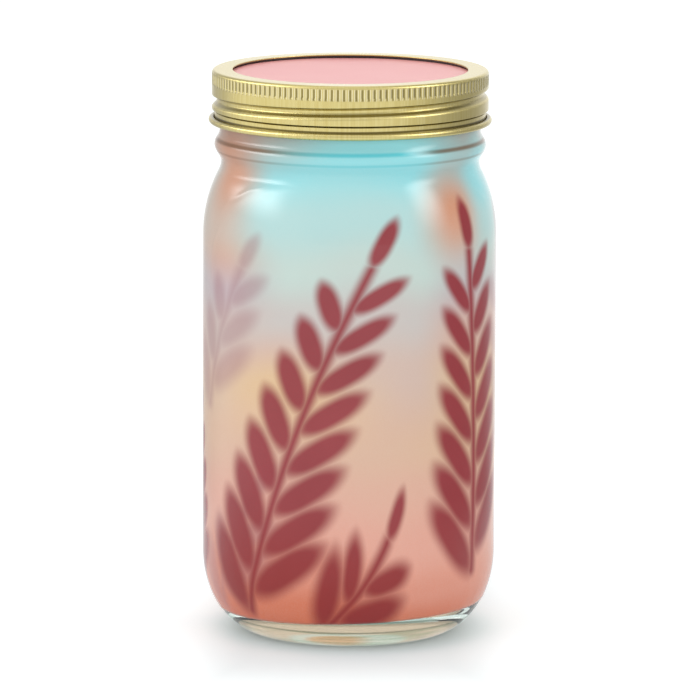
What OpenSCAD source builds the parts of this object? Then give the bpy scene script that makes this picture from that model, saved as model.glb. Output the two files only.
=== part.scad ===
// Hydroponic jar planter: a wide-mouth glass jar in a printed film, with a perforated
// pot and a wick that hang in its mouth under a two-piece screw closure.
// Millimetres, Z up. The origin is the centre of the jar's bearing ring.

/* [Glass jar] */
// Outer diameter of the straight body
body_d = 93.2; // [88:0.1:110]
// Height from the bearing ring to the sealing rim
glass_h = 178.3; // [165:0.1:230]
// Wall of the body and shoulder
glass_t = 2.8; // [2:0.1:3.6]
// Height of the straight body's lower end
heel_h = 25.6; // [20:0.1:34]
// Outer diameter of the bearing ring
foot_d = 63.4; // [58:0.1:68]
// Width of the bearing ring
foot_w = 3; // [2:0.1:5]
// Rise of the heel curve as it leaves the bearing ring, in degrees
foot_angle = 15; // [8:1:30]
// Rise of the push-up at the middle of the underside
push_up = 3.2; // [2:0.1:5]
// Glass at the middle of the floor
floor_t = 4.2; // [3:0.1:6]
// Height from the straight body's upper end to the waist
shoulder_h = 23.1; // [16:0.1:30]

/* [Jar finish] */
// Bore of the mouth
mouth_d = 76; // [74:0.1:77.4]
// Outer diameter of the finish, without its thread
finish_d = 82.8; // [82:0.1:83.4]
// Height of the plain finish, from the rim to the transfer bead
finish_h = 17.1; // [16:0.1:19]
// Radius of the rim's two edges
lip_r = 1.2; // [0.6:0.1:1.3]
// Diameter over the transfer bead
bead_d = 86.2; // [84.5:0.1:88]
// Height of the bead's upper flank
bead_rise = 4.4; // [3:0.1:6]
// Height of the bead's lower flank
bead_fall = 5.4; // [3:0.1:6.5]
// Diameter of the waist under the bead
waist_d = 81.9; // [80.8:0.1:83]
// Radius of the hollow curve at the waist
waist_curve = 6.5; // [4:0.5:9]

/* [Printed film] */
// Thickness of the film
film_t = 0.15; // [0.1:0.01:0.3]
// Air between the film and the glass
film_gap = 0.03; // [0.02:0.01:0.1]
// Height of the film's lower edge at the jar's axis
film_foot = 9; // [8:0.1:12]
// Slant of the lower edge, in degrees
film_slant = 2.2; // [0:0.1:3.6]
// Side on which the lower edge is high, in degrees round the jar
film_high = -22; // [-180:1:180]
// How far the film reaches up under the band
film_tuck = 1.2; // [0.4:0.1:3]

/* [Screw band] */
// Play between the disc's edge and the inside of the knurl
band_play = 1.02; // [0.4:0.02:1.3]
// Thickness of the band's sheet
band_t = 0.4; // [0.3:0.02:0.5]
// How far the flange reaches in over the sunk panel
band_lip = 1.1; // [0.6:0.1:3]
// Radius of the edge between flange and skirt
band_edge_r = 1.1; // [0.9:0.1:1.3]
// Height of the knurl
knurl_h = 3.6; // [2.5:0.1:4]
// Height of the plain strip under the knurl
plain_h = 0.6; // [0.4:0.1:0.8]
// Number of teeth in the knurl
knurl_n = 144; // [100:4:160]
// Depth of the knurl's grooves
knurl_cut = 0.38; // [0.2:0.02:0.42]
// Depth of the groove's middle under the flange's top
groove_at = 8.2; // [7:0.1:9]
// How far the groove is drawn in
groove_in = 1.3; // [0.6:0.05:1.4]
// Depth of the bead's middle under the flange's top
swell_at = 10.9; // [10:0.1:11.6]
// How far the bead stays inside the knurl's diameter
swell_in = 0.25; // [0.1:0.05:0.6]
// Depth of the lower groove's middle under the flange's top
dip_at = 13.3; // [12.6:0.1:13.8]
// How far the lower groove is drawn in
dip_in = 0.95; // [0.6:0.05:1.2]
// Depth of the curled hem's middle under the flange's top
hem_at = 16; // [15.9:0.05:18]
// Outer radius of the curled hem
hem_r = 1.05; // [0.9:0.05:1.2]
// How far round the hem is curled, in degrees
hem_turn = 300; // [240:5:300]

/* [Closure disc] */
// How far the disc's edge stands out past the finish
disc_out = 0.8; // [0.6:0.05:1.1]
// Thickness of the disc's sheet
disc_t = 0.3; // [0.2:0.02:0.4]
// Height of the disc's hem
disc_hem = 1; // [0.6:0.1:1.3]
// How far the sunk panel reaches past the bore
panel_out = 0.5; // [0.1:0.05:0.7]
// How far the panel is sunk
panel_drop = 1; // [0.7:0.05:1.05]
// Thickness of the sealing ring
seal_t = 1.1; // [1.1:0.05:1.6]
// Width of the sealing ring
seal_w = 2.2; // [1.6:0.1:2.2]
// Thickness of the card on the panel
card_t = 0.2; // [0.15:0.01:0.3]
// Clearance of the card in the panel
card_gap = 0.3; // [0.2:0.05:0.5]

/* [Wick pot] */
// Depth of the pot under the jar's rim
pot_depth = 66; // [55:1:80]
// Outer diameter of the pot's lower end
pot_foot_d = 62; // [54:0.5:66]
// Thickness of the pot's sheet
pot_t = 0.5; // [0.4:0.05:0.7]
// Clearance between the collar and the mouth
collar_gap = 1.1; // [0.8:0.1:1.6]
// Height of the collar
collar_h = 7; // [5:0.5:10]
// How far the pot's flange stays inside the finish
flange_in = 0.3; // [0.1:0.05:0.6]
// Gap at the welded seams
weld_gap = 0.03; // [0.02:0.01:0.06]
// Diameter of the holes
hole_d = 4; // [3:0.1:4.6]
// Holes in each row of the wall
hole_n = 24; // [16:1:28]
// Distance between rows of holes
hole_pitch = 6.4; // [5.4:0.1:9]
// Height of the floor's upturned edge
floor_lip = 4; // [3:0.5:6]
// Distance between rings of holes in the floor
ring_pitch = 6; // [5.6:0.1:7]

/* [Wick and medium] */
// Width of the wick
wick_w = 20; // [12:0.5:20]
// Thickness of the wick
wick_t = 2.4; // [1.5:0.1:3]
// Clearance of the wick in the floor's slot
wick_gap = 0.3; // [0.2:0.05:0.6]
// Distance of the wick's end from the jar's floor
wick_clear = 2; // [1:0.5:6]
// How far the wick reaches into the medium
wick_in = 22; // [12:1:24]
// Height of the growing medium
medium_h = 34; // [30:1:38]
// Gap between the medium and what holds it
medium_gap = 0.3; // [0.3:0.05:0.8]
// Diameter of the planting dimple
plant_d = 12; // [8:0.5:16]
// Depth of the planting dimple
plant_h = 3.5; // [2:0.1:4]

/* [Packets] */
// Air between the packets
packet_gap = 0.3; // [0.2:0.05:0.6]
// Length of the carbon sachet
carbon_l = 50; // [40:1:52]
// Width of the carbon sachet
carbon_w = 36; // [30:1:38]
// Thickness of the carbon sachet
carbon_h = 6; // [4:0.5:7]
// Length of the plant food sachet
food_l = 48; // [40:1:52]
// Width of the plant food sachet
food_w = 37; // [30:1:38]
// Thickness of the plant food sachet
food_h = 5; // [3:0.5:6]
// Thickness of a sachet's sealed edge
fin_t = 0.4; // [0.3:0.05:0.6]
// Width of a sachet's sealed edge
fin_w = 4; // [3:0.5:6]
// Length of the seed packet
packet_l = 52; // [44:1:54]
// Width of the seed packet
packet_w = 38; // [30:1:40]
// Thickness of the seed packet
packet_h = 1.2; // [0.8:0.1:2]
// Depth of the seed packet's folded flap
flap_d = 11; // [8:0.5:16]
// Thickness of the folded flap
flap_t = 0.3; // [0.2:0.05:0.5]
// Length of the folded leaflet
leaflet_l = 49; // [44:1:54]
// Width of the folded leaflet
leaflet_w = 35; // [30:1:40]
// Thickness of the leaflet's paper
leaflet_t = 0.25; // [0.2:0.05:0.4]
// Number of panels in the leaflet's fold
leaflet_n = 4; // [2:1:5]

/* [Hidden] */
$fn = 128;
small_fn = 24;
steps = 10;

// Jar
body_r = body_d / 2;
body_in_r = body_r - glass_t;
foot_r = foot_d / 2;
finish_r = finish_d / 2;
mouth_r = mouth_d / 2;
bead_r = bead_d / 2;
waist_r = waist_d / 2;
finish_z = glass_h - finish_h;
bead_z = finish_z - bead_rise;
waist_z = bead_z - bead_fall;
body_top = waist_z - shoulder_h;
jar_floor = push_up + floor_t;
// The shoulder is two arcs that meet at one slope
shoulder_turn = 2 * atan2(body_r - waist_r, shoulder_h);
shoulder_curve = shoulder_h / sin(shoulder_turn) - waist_curve;
// Pull of the heel's curve at its two ends
heel_pull = 0.457 * heel_h;
foot_pull = 0.3 * foot_r;
// Radius at which the jar's flat floor ends, and how far out its corner pulls
floor_flat = body_in_r / 2;
floor_pull = 0.82 * body_in_r;

// Stack on the jar's rim
flange_top = glass_h + pot_t;
disc_under = flange_top + seal_t;
disc_top = disc_under + disc_t;
panel_top = disc_top - panel_drop;
panel_r = mouth_r + panel_out;
disc_r = finish_r + disc_out;
seal_in_r = panel_r + disc_t + weld_gap;
band_top = disc_top + band_t;

// Band
band_r = disc_r + band_play + band_t + knurl_cut;
band_open_r = panel_r - band_lip;
knurl_root = band_r - knurl_cut;
knurl_top = band_top - band_edge_r;
knurl_foot = knurl_top - knurl_h;
// The teeth stand this far inside the edges above and under them, and their grooves end in the root
knurl_seam = 0.03;
skirt_in = band_r - hem_r;
hem_z = band_top - hem_at;
hem_mid_r = skirt_in + hem_r;

// Pot
collar_r = mouth_r - collar_gap;
flange_r = finish_r - flange_in;
wall_r = collar_r - pot_t - weld_gap;
pot_foot_r = pot_foot_d / 2;
pot_foot_z = glass_h - pot_depth;
taper_z = glass_h - collar_h;
wall_top = glass_h - pot_t;
floor_top = pot_foot_z + pot_t;
slot_w = wick_w + 2 * wick_gap;
slot_t = wick_t + 2 * wick_gap;
hole_rows = floor((taper_z - pot_foot_z - floor_lip - hole_d) / hole_pitch) + 1;
floor_in_r = pot_foot_r - pot_t - weld_gap;
floor_rings = floor((floor_in_r - slot_w / 2 - hole_d) / ring_pitch);
// Height of the lowest holes over the pot's underside, just clear of the floor's upturned edge
first_row = floor_lip + hole_d / 2 + 0.5;
// Radius of the innermost ring of holes, and the least distance between holes in a ring
first_ring = slot_w / 2 + 0.65 * ring_pitch;
ring_step = 1.2 * ring_pitch;

// Wick, medium and packets
wick_foot = jar_floor + wick_clear;
medium_foot = floor_top + medium_gap;
medium_top = medium_foot + medium_h;
wick_top = medium_foot + wick_in;
carbon_z = medium_top + packet_gap;
food_z = carbon_z + carbon_h + packet_gap;
packet_z = food_z + food_h + packet_gap;
leaflet_z = packet_z + packet_h + flap_t + packet_gap;
pleat = 2 * leaflet_t;

// Points of an arc round (r, z)
function arc(r, z, radius, from, to, n = steps) =
    [for (i = [0 : n]) let (a = from + (to - from) * i / n) [r + radius * cos(a), z + radius * sin(a)]];

// Points of a cubic curve
function curve(a, b, c, d, n = steps) =
    [for (i = [0 : n]) let (t = i / n, u = 1 - t)
        u * u * u * a + 3 * u * u * t * b + 3 * u * t * t * c + t * t * t * d];

// Smooth flank between two points, level at both ends
function flank(a, b, n = 6) =
    [for (i = [1 : n]) let (t = i / n) [a[0] + (b[0] - a[0]) * (1 - cos(180 * t)) / 2, a[1] + (b[1] - a[1]) * t]];

function reversed(list) = [for (i = [len(list) - 1 : -1 : 0]) list[i]];

function moved(list, dr) = [for (p = list) [p[0] + dr, p[1]]];

// Shoulder from the straight body's end to the waist, at a wall's depth inside the glass
function shoulder(depth) = concat(
    arc(body_r - depth - shoulder_curve, body_top, shoulder_curve, 0, shoulder_turn),
    reversed(arc(waist_r - depth + waist_curve, waist_z, waist_curve, 180, 180 + shoulder_turn, 6))
);

// Outside of the glass, from the bearing ring to the rim
jar_outside = concat(
    curve(
        [foot_r, 0],
        [foot_r + foot_pull * cos(foot_angle), foot_pull * sin(foot_angle)],
        [body_r, heel_h - heel_pull],
        [body_r, heel_h],
        14
    ),
    shoulder(0),
    flank([waist_r, waist_z], [bead_r, bead_z]),
    flank([bead_r, bead_z], [finish_r, finish_z]),
    arc(finish_r - lip_r, glass_h - lip_r, lip_r, 0, 90, 5)
);

// Inside of the glass, from the middle of the floor to the rim
jar_inside = concat(
    [[0, jar_floor]],
    curve(
        [floor_flat, jar_floor],
        [floor_pull, jar_floor],
        [body_in_r, heel_h - heel_pull],
        [body_in_r, heel_h],
        12
    ),
    [for (p = shoulder(glass_t)) if (p[0] > mouth_r) p],
    [[mouth_r, waist_z + bead_fall]],
    arc(mouth_r + lip_r, glass_h - lip_r, lip_r, 180, 90, 5)
);

// Radius of the glass at a height, on the same facets as the solid
jar_rows = [for (p = jar_outside) [p[1], p[0]]];
function jar_r(z) = lookup(z, jar_rows);

// Radius inside the pot's wall at a height
function pot_in_r(z) = lookup(z, [[pot_foot_z, pot_foot_r - pot_t], [taper_z, wall_r - pot_t]]);

module glass_jar() {
    color("lightcyan", 0.5)
    rotate_extrude()
    polygon(concat(
        jar_outside,
        reversed(jar_inside),
        reversed(arc(0, 0, 1, 0, 90) * [[foot_r - foot_w, 0], [0, push_up]])
    ));
}

module printed_sleeve() {
    film_top = band_top - hem_at - hem_r + film_tuck;
    film_low = film_foot - body_r * tan(film_slant) - film_t;
    hug = concat(
        [[jar_r(film_low), film_low]],
        [for (p = jar_outside) if (p[1] > film_low && p[1] < film_top) p],
        [[jar_r(film_top), film_top]]
    );
    color("salmon")
    difference() {
        rotate_extrude()
        polygon(concat(moved(hug, film_gap), reversed(moved(hug, film_gap + film_t))));
        translate([0, 0, film_foot])
        rotate([0, 0, film_high])
        rotate([0, -film_slant, 0])
        translate([0, 0, -body_r])
        cube([3 * body_r, 3 * body_r, 2 * body_r], center = true);
    }
}

// Outside of the band's skirt, from under the knurl to the hem
skirt = concat(
    [[band_r, knurl_foot], [band_r, knurl_foot - plain_h]],
    flank([band_r, knurl_foot - plain_h], [band_r - groove_in, band_top - groove_at]),
    flank([band_r - groove_in, band_top - groove_at], [band_r - swell_in, band_top - swell_at]),
    flank([band_r - swell_in, band_top - swell_at], [band_r - dip_in, band_top - dip_at]),
    flank([band_r - dip_in, band_top - dip_at], [skirt_in + band_t, hem_z + hem_r])
);

module knurl_ring() {
    tooth = 360 / knurl_n;
    // Share of a tooth's pitch from the groove's middle to the crest's edge
    slope = 0.28;
    translate([0, 0, knurl_foot])
    linear_extrude(knurl_h)
    difference() {
        polygon([for (i = [0 : knurl_n - 1], k = [0, slope, 1 - slope])
            let (r = k == 0 ? knurl_root - 2 * knurl_seam : band_r - knurl_seam, a = (i + k) * tooth)
            r * [cos(a), sin(a)]
        ]);
        circle(r = knurl_root - band_t / 2);
    }
}

module screw_band() {
    edge_in_r = band_edge_r - band_t;
    step_z = knurl_foot - plain_h / 2;
    inner = moved([for (p = skirt) if (p[1] < step_z) p], -band_t);
    color("darkkhaki")
    union() {
        rotate_extrude()
        polygon(concat(
            [[band_open_r, band_top]],
            reversed(arc(band_r - band_edge_r, knurl_top, band_edge_r, 0, 90, 6)),
            [[knurl_root, knurl_top], [knurl_root, knurl_foot]],
            skirt,
            arc(hem_mid_r, hem_z, hem_r - band_t, 180, 180 + hem_turn, 20),
            reversed(arc(hem_mid_r, hem_z, hem_r, 180, 180 + hem_turn, 20)),
            reversed(inner),
            [[knurl_root - band_t, step_z]],
            arc(knurl_root - band_t - edge_in_r, knurl_top, edge_in_r, 0, 90, 4),
            [[band_open_r, disc_top]]
        ));
        knurl_ring();
    }
}

module lid_disc() {
    color("silver")
    rotate_extrude()
    polygon([
        [0, panel_top - disc_t],
        [panel_r + disc_t, panel_top - disc_t],
        [panel_r + disc_t, disc_under],
        [disc_r - disc_t, disc_under],
        [disc_r - disc_t, disc_top - disc_hem],
        [disc_r, disc_top - disc_hem],
        [disc_r, disc_top],
        [panel_r, disc_top],
        [panel_r, panel_top],
        [0, panel_top]
    ]);
}

module lid_seal() {
    shoulder_in = seal_t / 4;
    color("gainsboro")
    rotate_extrude()
    polygon([
        [seal_in_r, disc_under],
        [seal_in_r, flange_top + shoulder_in],
        [seal_in_r + shoulder_in, flange_top],
        [seal_in_r + seal_w - shoulder_in, flange_top],
        [seal_in_r + seal_w, flange_top + shoulder_in],
        [seal_in_r + seal_w, disc_under]
    ]);
}

module lid_card() {
    color("pink")
    translate([0, 0, panel_top])
    cylinder(r = panel_r - card_gap, h = card_t);
}

module pot_rim() {
    bend = 2 * pot_t;
    color("lightsteelblue")
    rotate_extrude()
    polygon(concat(
        [[flange_r, glass_h], [flange_r, flange_top]],
        arc(collar_r - pot_t + bend, flange_top - bend, bend, 90, 180, 5),
        [[collar_r - pot_t, taper_z], [collar_r, taper_z]],
        arc(collar_r - pot_t + bend, flange_top - bend, bend - pot_t, 180, 90, 5)
    ));
}

module pot_wall() {
    color("lightsteelblue")
    difference() {
        rotate_extrude()
        polygon([
            [pot_foot_r - pot_t, pot_foot_z],
            [pot_foot_r, pot_foot_z],
            [wall_r, taper_z],
            [wall_r, wall_top],
            [wall_r - pot_t, wall_top],
            [wall_r - pot_t, taper_z]
        ]);
        for (row = [0 : hole_rows - 1], i = [0 : hole_n - 1])
            translate([0, 0, pot_foot_z + first_row + row * hole_pitch])
            rotate([0, 90, (i + row % 2 / 2) * 360 / hole_n])
            translate([0, 0, pot_foot_r - 4 * pot_t])
            cylinder(d = hole_d, h = wall_r - pot_foot_r + 8 * pot_t, $fn = small_fn);
    }
}

module pot_floor() {
    low = floor_in_r;
    high = pot_in_r(pot_foot_z + floor_lip) - weld_gap;
    color("lightsteelblue")
    difference() {
        rotate_extrude()
        polygon([
            [0, pot_foot_z],
            [low, pot_foot_z],
            [high, pot_foot_z + floor_lip],
            [high - pot_t, pot_foot_z + floor_lip],
            [low - pot_t, floor_top],
            [0, floor_top]
        ]);
        translate([0, 0, pot_foot_z])
        cube([slot_w, slot_t, 4 * pot_t], center = true);
        for (ring = [0 : floor_rings - 1])
            floor_holes(first_ring + ring * ring_pitch);
    }
}

// One ring of holes through the floor, spaced as the rings are
module floor_holes(r) {
    n = floor(2 * PI * r / ring_step);
    for (i = [0 : n - 1])
        rotate([0, 0, i * 360 / n])
        translate([r, 0, pot_foot_z - pot_t])
        cylinder(d = hole_d, h = 3 * pot_t, $fn = small_fn);
}

module wick() {
    color("white")
    translate([0, wick_t / 2, 0])
    rotate([90, 0, 0])
    linear_extrude(wick_t)
    polygon([
        [-wick_w / 2, wick_foot + wick_t],
        [-wick_w / 2 + wick_t, wick_foot],
        [wick_w / 2 - wick_t, wick_foot],
        [wick_w / 2, wick_foot + wick_t],
        [wick_w / 2, wick_top],
        [-wick_w / 2, wick_top]
    ]);
}

module grow_medium() {
    round_r = 2;
    foot_in = max(floor_in_r - pot_t - medium_gap, plant_d);
    lip_z = pot_foot_z + floor_lip + medium_gap;
    color("saddlebrown")
    difference() {
        rotate_extrude()
        polygon(concat(
            [[0, medium_foot], [foot_in, medium_foot]],
            [[pot_in_r(pot_foot_z + floor_lip) - pot_t - 2 * medium_gap, lip_z]],
            arc(pot_in_r(medium_top - round_r) - medium_gap - round_r, medium_top - round_r, round_r, 0, 90, 5),
            [[plant_d / 2, medium_top], [plant_d / 3, medium_top - plant_h], [0, medium_top - plant_h]]
        ));
        translate([-wick_w / 2 - wick_gap, -wick_t / 2 - wick_gap, medium_foot - 1])
        cube([slot_w, slot_t, wick_in + 1 + wick_gap]);
    }
}

// Pillow of a sachet on a flat sealed edge, its underside at height 0
module pillow(l, w, h) {
    nx = 12;
    ny = 10;
    // A smaller power fills the pillow more squarely
    fullness = 0.55;
    // The sealed edge's block ends just inside the pillow's two faces
    block_t = 0.98 * fin_t;
    function swell(u) = pow(max(0, 1 - u * u), fullness);
    function at(i, n, size) = -size / 2 + fin_w + (size - 2 * fin_w) * i / n;
    function lift(i, j) = swell(2 * i / nx - 1) * swell(2 * j / ny - 1) * (h - fin_t) / 2;
    function layer(side) = [for (j = [0 : ny], i = [0 : nx])
        [at(i, nx, l), at(j, ny, w), h / 2 + side * (fin_t / 2 + lift(i, j))]];
    row = nx + 1;
    count = row * (ny + 1);
    function pair(a, b, c, d) = [[a, b, c], [a, c, d]];
    edge = concat(
        [for (i = [0 : nx]) i],
        [for (j = [1 : ny]) j * row + nx],
        [for (i = [nx - 1 : -1 : 0]) ny * row + i],
        [for (j = [ny - 1 : -1 : 1]) j * row]
    );
    skin = [for (j = [0 : ny - 1], i = [0 : nx - 1]) let (k = j * row + i, m = k + count)
        each concat(pair(k, k + 1, k + row + 1, k + row), pair(m, m + row, m + row + 1, m + 1))];
    sides = [for (k = [0 : len(edge) - 1]) let (a = edge[k], b = edge[(k + 1) % len(edge)])
        each pair(a, a + count, b + count, b)];
    union() {
        polyhedron(concat(layer(-1), layer(1)), concat(skin, sides), 4);
        translate([0, 0, h / 2])
        cube([l, w, block_t], center = true);
    }
}

module carbon_sachet() {
    color("dimgray")
    translate([0, 0, carbon_z])
    pillow(carbon_l, carbon_w, carbon_h);
}

module plant_food_sachet() {
    color("whitesmoke")
    translate([0, 0, food_z])
    rotate([0, 0, 90])
    pillow(food_l, food_w, food_h);
}

module seed_packet() {
    // How far the flap's free edge and its shoulders draw in at each side
    edge_in = 0.14 * packet_w;
    shoulder_in = 0.06 * packet_w;
    color("wheat")
    translate([0, 0, packet_z])
    union() {
        translate([-packet_l / 2, -packet_w / 2, 0])
        cube([packet_l, packet_w, packet_h]);
        translate([packet_l / 2 - flap_d, -packet_w / 2, packet_h])
        linear_extrude(flap_t)
        polygon([
            [flap_d, 0],
            [flap_d, packet_w],
            [flap_d / 4, packet_w - shoulder_in],
            [0, packet_w - edge_in],
            [0, edge_in],
            [flap_d / 4, shoulder_in]
        ]);
    }
}

// Leaflet folded to and fro, each panel joined to the next along one edge
module instruction_leaflet() {
    color("ivory")
    translate([0, leaflet_w / 2, leaflet_z])
    rotate([90, 0, 0])
    linear_extrude(leaflet_w)
    union() {
        for (i = [0 : leaflet_n - 1])
            translate([-leaflet_l / 2, i * pleat])
            square([leaflet_l, leaflet_t]);
        for (i = [0 : leaflet_n - 2])
            translate([i % 2 == 0 ? leaflet_l / 2 - leaflet_t : -leaflet_l / 2, i * pleat])
            square([leaflet_t, pleat + leaflet_t]);
    }
}

glass_jar();
printed_sleeve();
screw_band();
lid_disc();
lid_seal();
lid_card();
pot_rim();
pot_wall();
pot_floor();
wick();
grow_medium();
carbon_sachet();
plant_food_sachet();
seed_packet();
instruction_leaflet();
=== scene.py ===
"""Looks of the hydroponic jar planter: printed jar, screw band, round card, and the wick pot with its kit."""

import logging
import math
from dataclasses import dataclass
from enum import Enum
from typing import Sequence

import bmesh
import bpy
import numpy as np
from mathutils import Matrix, Vector


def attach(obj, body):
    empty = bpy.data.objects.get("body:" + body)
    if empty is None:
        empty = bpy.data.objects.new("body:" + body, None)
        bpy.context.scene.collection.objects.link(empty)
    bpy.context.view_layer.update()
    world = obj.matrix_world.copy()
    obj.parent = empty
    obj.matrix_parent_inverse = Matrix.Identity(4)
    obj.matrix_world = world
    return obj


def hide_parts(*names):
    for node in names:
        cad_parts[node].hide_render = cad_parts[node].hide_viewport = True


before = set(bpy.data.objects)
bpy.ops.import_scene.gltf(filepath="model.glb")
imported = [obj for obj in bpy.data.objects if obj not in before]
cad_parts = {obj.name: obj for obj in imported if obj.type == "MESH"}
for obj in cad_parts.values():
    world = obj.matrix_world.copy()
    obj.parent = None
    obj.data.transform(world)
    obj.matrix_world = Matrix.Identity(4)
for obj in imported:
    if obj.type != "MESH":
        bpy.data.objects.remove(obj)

MM = 0.001
DEGREES = 180 / math.pi
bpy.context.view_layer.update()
log = logging.getLogger("jar_planter")

Point = tuple[float, float]
Spot = tuple[float, float, float]
Piece = bpy.types.Object
Material = bpy.types.Material
Node = bpy.types.Node
Mesh = tuple[np.ndarray, np.ndarray]


# Node trees ----------------------------------------------------------------------------------------------------


def linear(code: str) -> tuple[float, float, float, float]:
    """Turns an sRGB hex colour to linear light.

    Args:
        code: Six hex digits.

    Returns:
        Linear red, green and blue, and 1 for alpha.
    """
    parts = [int(code[i:i + 2], 16) / 255 for i in (0, 2, 4)]
    return (*[c / 12.92 if c <= 0.04045 else ((c + 0.055) / 1.055) ** 2.4 for c in parts], 1.0)


class Nodes:
    """A node tree with short ways to add to it."""

    def __init__(self, tree: bpy.types.NodeTree) -> None:
        """Takes the tree and empties it."""
        self.tree = tree
        tree.nodes.clear()

    def add(self, kind: str, settings: dict | None = None, **inputs: object) -> Node:
        """Adds a node, with its settings and what feeds it.

        Args:
            kind: Node type without the ShaderNode prefix.
            settings: Properties of the node.
            **inputs: What feeds each input, by its name with _ for a space, or by its place as i0, i1: a value, a
                node, a socket, a number or a hex colour.

        Returns:
            The new node.
        """
        node = self.tree.nodes.new("ShaderNode" + kind)
        for name, value in (settings or {}).items():
            setattr(node, name, value)
        for name, value in inputs.items():
            by_place = name[0] == "i" and name[1:].isdigit()
            socket = node.inputs[int(name[1:]) if by_place else name.replace("_", " ")]
            if isinstance(value, Value):
                value = value.socket
            if isinstance(value, Node):
                value = next(s for s in value.outputs if s.enabled)
            if isinstance(value, bpy.types.NodeSocket):
                self.tree.links.new(value, socket)
            else:
                socket.default_value = linear(value) if isinstance(value, str) else value
        return node

    def rays(self) -> list["Value"]:
        """Whether a camera ray, a glossy ray and a transmission ray looks, each 1 or 0."""
        path = self.add("LightPath").outputs
        return [Value(self, path[f"Is {kind} Ray"]) for kind in ("Camera", "Glossy", "Transmission")]


@dataclass(frozen=True)
class Value:
    """A number or a colour in a node tree. Sums with it add nodes."""

    nodes: Nodes
    socket: bpy.types.NodeSocket

    def do(self, operation: str, *others: object) -> "Value":
        """Adds one Math node.

        Args:
            operation: The node's operation.
            *others: Numbers or values that come after this one.

        Returns:
            The result.
        """
        inputs = {f"i{i}": term for i, term in enumerate((self, *others))}
        return Value(self.nodes, self.nodes.add("Math", {"operation": operation}, **inputs).outputs[0])

    def __add__(self, other: object) -> "Value":
        """Sum."""
        return self.do("ADD", other)

    def __sub__(self, other: object) -> "Value":
        """Difference."""
        return self.do("SUBTRACT", other)

    def __rsub__(self, other: object) -> "Value":
        """Difference from a number."""
        return -self + other

    def __mul__(self, other: object) -> "Value":
        """Product."""
        return self.do("MULTIPLY", other)

    def __truediv__(self, other: object) -> "Value":
        """Quotient."""
        return self.do("DIVIDE", other)

    def __pow__(self, other: object) -> "Value":
        """Power."""
        return self.do("POWER", other)

    def __neg__(self) -> "Value":
        """Opposite."""
        return self * -1.0

    def __abs__(self) -> "Value":
        """Size without sign."""
        return self.do("ABSOLUTE")

    def most(self, other: object) -> "Value":
        """The larger of two."""
        return self.do("MAXIMUM", other)

    def root(self) -> "Value":
        """Square root."""
        return self.do("SQRT")

    def wrapped(self, half: float) -> "Value":
        """The same place on a closed round, between minus and plus half its length."""
        return self.do("WRAP", half, -half)

    def turn_from(self, other: "Value") -> "Value":
        """Angle in radians whose tangent is this value over the other."""
        return self.do("ARCTAN2", other)

    def ease(self, low: float, high: float, start: float = 0.0, end: float = 1.0) -> "Value":
        """Smooth step between two bounds.

        Args:
            low: Value at which the result is start.
            high: Value at which the result is end.
            start: Result up to low.
            end: Result from high on.

        Returns:
            The result.
        """
        kind = {"interpolation_type": "SMOOTHSTEP"}
        node = self.nodes.add("MapRange", kind, Value=self, From_Min=low, From_Max=high, To_Min=start, To_Max=end)
        return Value(self.nodes, node.outputs[0])

    def mix(self, first: object, second: object) -> "Value":
        """Mixes two colours, with this value as the share of the second."""
        kind = {"data_type": "RGBA", "clamp_factor": True}
        return Value(self.nodes, self.nodes.add("Mix", kind, i0=self, i6=first, i7=second).outputs[2])


class Surface(Nodes):
    """A new material."""

    def __init__(self, name: str) -> None:
        """Makes the material, with the place of each point on its piece."""
        self.material = bpy.data.materials.new(name)
        self.material.use_nodes = True
        super().__init__(self.material.node_tree)
        self.spot = self.add("TexCoord").outputs["Object"]

    def place(self) -> list[Value]:
        """Three coordinates of a point on the piece, in millimetres."""
        return [Value(self, part) * 1000.0 for part in self.add("SeparateXYZ", Vector=self.spot).outputs]

    def place_round(self, radius: float) -> tuple[Value, Value]:
        """Length round the jar from the front, to the right, on a radius, and height, in millimetres."""
        x, y, z = self.place()
        return x.turn_from(-y) * radius, z

    def noise(self, scale: float, detail: float = 1.0, where: object = None, kind: str = "FBM",
              **inputs: float) -> Value:
        """Adds a noise.

        Args:
            scale: Waves per unit of length.
            detail: Number of finer octaves.
            where: Where it is read, if it isn't the point on the piece in metres.
            kind: The node's noise type.
            **inputs: Other inputs of the node.

        Returns:
            The noise.
        """
        spot = self.spot if where is None else where
        node = self.add("TexNoise", {"noise_type": kind}, Vector=spot, Scale=scale, Detail=detail, **inputs)
        return Value(self, node.outputs[0])

    def bump(self, strength: float, depth: float, height: object) -> Node:
        """Adds a relief whose depth is given in millimetres."""
        return self.add("Bump", Strength=strength, Distance=depth * MM, Height=height)

    def finish(self, shader: Node, passes: str = "") -> Material:
        """Gives the material its shader.

        Args:
            shader: Node that the output gets.
            passes: Colour of the lamps' light that passes a thin or clear surface, if it does.

        Returns:
            The material.
        """
        if passes:
            clear = self.add("BsdfTransparent", Color=passes)
            lamps = self.add("LightPath").outputs["Is Shadow Ray"]
            shader = self.add("MixShader", i0=lamps, i1=shader, i2=clear)
        self.add("OutputMaterial", Surface=shader)
        return self.material


# Meshes --------------------------------------------------------------------------------------------------------


def dress(piece: Piece, material: Material) -> None:
    """Gives every slot of a piece one material."""
    if not piece.data.materials:
        piece.data.materials.append(material)
    for slot in piece.material_slots:
        slot.material = material


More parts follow.
